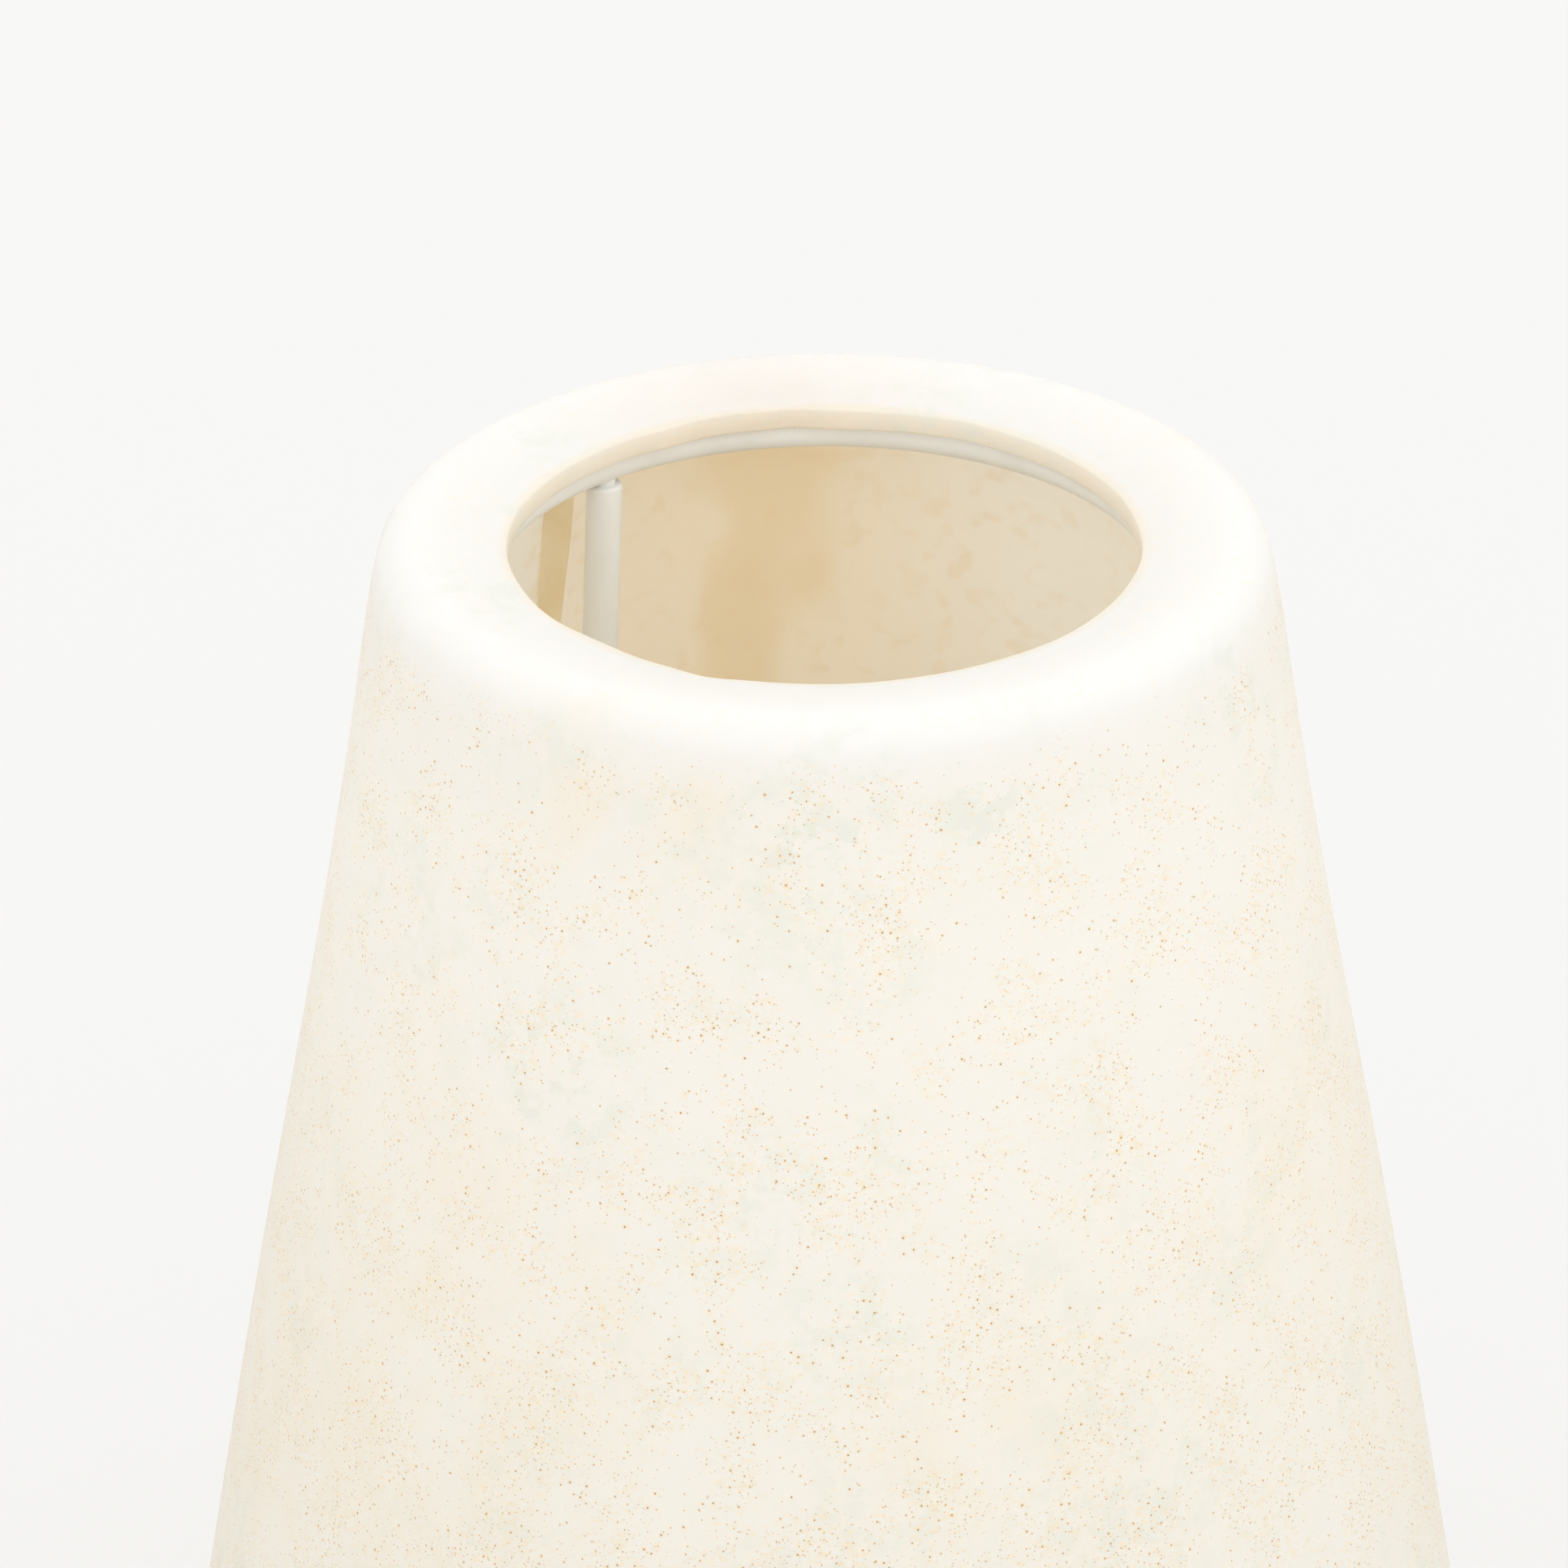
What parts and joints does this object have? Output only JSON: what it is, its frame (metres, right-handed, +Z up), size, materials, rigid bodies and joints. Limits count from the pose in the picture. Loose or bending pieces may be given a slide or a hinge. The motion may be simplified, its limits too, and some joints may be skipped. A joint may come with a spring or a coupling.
{
  "type": "table lantern",
  "caption": "Tapered table lantern: a speckled parchment shell with a round hole in its dished top hangs over a white wire stand with a lampholder and bulb.",
  "frame": {"origin": "on the table, under the middle of the base plate", "axes": "+Z up along the axis of the cone, +Y towards the back, +X to the right"},
  "size_m": [0.2783, 0.2784, 0.38],
  "materials": {
    "parchment": "satin goatskin parchment with brown pores and faint green and peach clouds",
    "former": "matte translucent laminate, warm tan with soft brown mottles",
    "seam": "matte parchment strip",
    "white_paint": "satin white powder coat",
    "zinc": "bright zinc plate",
    "brass": "satin brass",
    "rubber": "matte black rubber",
    "holder_plastic": "white moulded thermoset",
    "ceramic_core": "matte steatite",
    "cap_glass": "black glass insulator",
    "bulb_glass": "clear glass",
    "filament": "amber phosphor coating"
  },
  "bodies": {
    "stand": {"top_ring": "white_paint", "rod_rear_left": "white_paint", "rod_front": "white_paint", "rod_right": "white_paint", "base_plate": "white_paint", "foot_pad_rear": "rubber", "foot_pad_left": "rubber", "foot_pad_right": "rubber", "foot_screws": "zinc", "threaded_nipple": "zinc", "stem_tube": "white_paint", "lock_washer": "zinc", "lock_nut": "zinc", "cord_bush": "holder_plastic", "earth_screw": "brass", "earth_washer": "brass", "lampholder_cap": "holder_plastic", "lampholder_body": "holder_plastic", "terminal_core": "ceramic_core", "threaded_liner": "brass", "centre_contact": "brass", "terminal_screws": "brass"},
    "shell": {"parchment_skin": "parchment", "shell_former": "former", "seam_strip": "seam"},
    "bulb": {"bulb_cap": "zinc", "bulb_insulator": "cap_glass", "bulb_contact": "brass", "bulb_globe": "bulb_glass", "bulb_mount": "bulb_glass", "bulb_filaments": "filament"}
  },
  "joints": [
    {"name": "shell_lift", "type": "slide", "parent": "stand", "child": "shell", "axis": [0, 0, 1], "range_m": [0, 0.385]},
    {"name": "bulb_lift", "type": "slide", "parent": "stand", "child": "bulb", "axis": [0, 0, 1], "range_m": [0, 0.28]}
  ]
}
